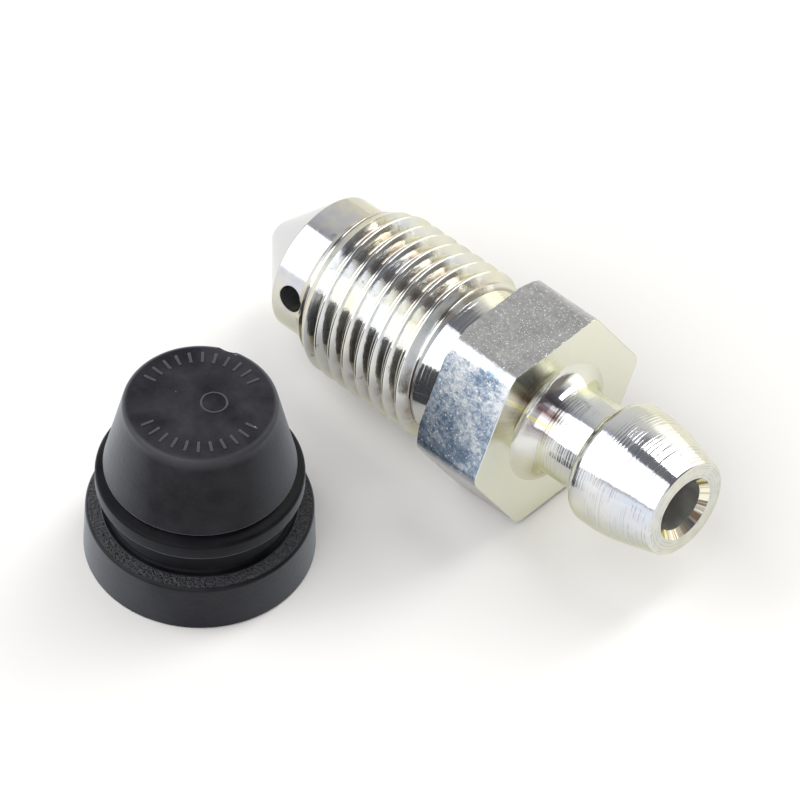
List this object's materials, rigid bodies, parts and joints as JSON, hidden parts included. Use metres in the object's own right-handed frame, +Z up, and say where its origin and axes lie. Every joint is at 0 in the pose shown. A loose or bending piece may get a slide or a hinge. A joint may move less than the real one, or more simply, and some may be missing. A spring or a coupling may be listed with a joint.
{
  "type": "bleeder screw with dust cap",
  "caption": "Turned steel bleed screw with hexagon, fine thread, hose nipple and drilled passage, with its rubber dust cap standing beside it.",
  "frame": {"origin": "middle of the footprint of screw and cap, on the surface that they lie on", "axes": "+X along the screw towards its nipple (the screw lies tilted up by 3.3 degrees, on a hexagon flat and its thread), +Z up"},
  "size_m": [0.0302, 0.0282, 0.0112],
  "materials": {
    "plated_steel": "bright zinc plate with a faint passivated tint",
    "cap_rubber": "satin moulded rubber, grained on the flange"
  },
  "bodies": {
    "root": {"bleeder_screw": "plated_steel", "dust_cap": "cap_rubber"}
  },
  "joints": []
}
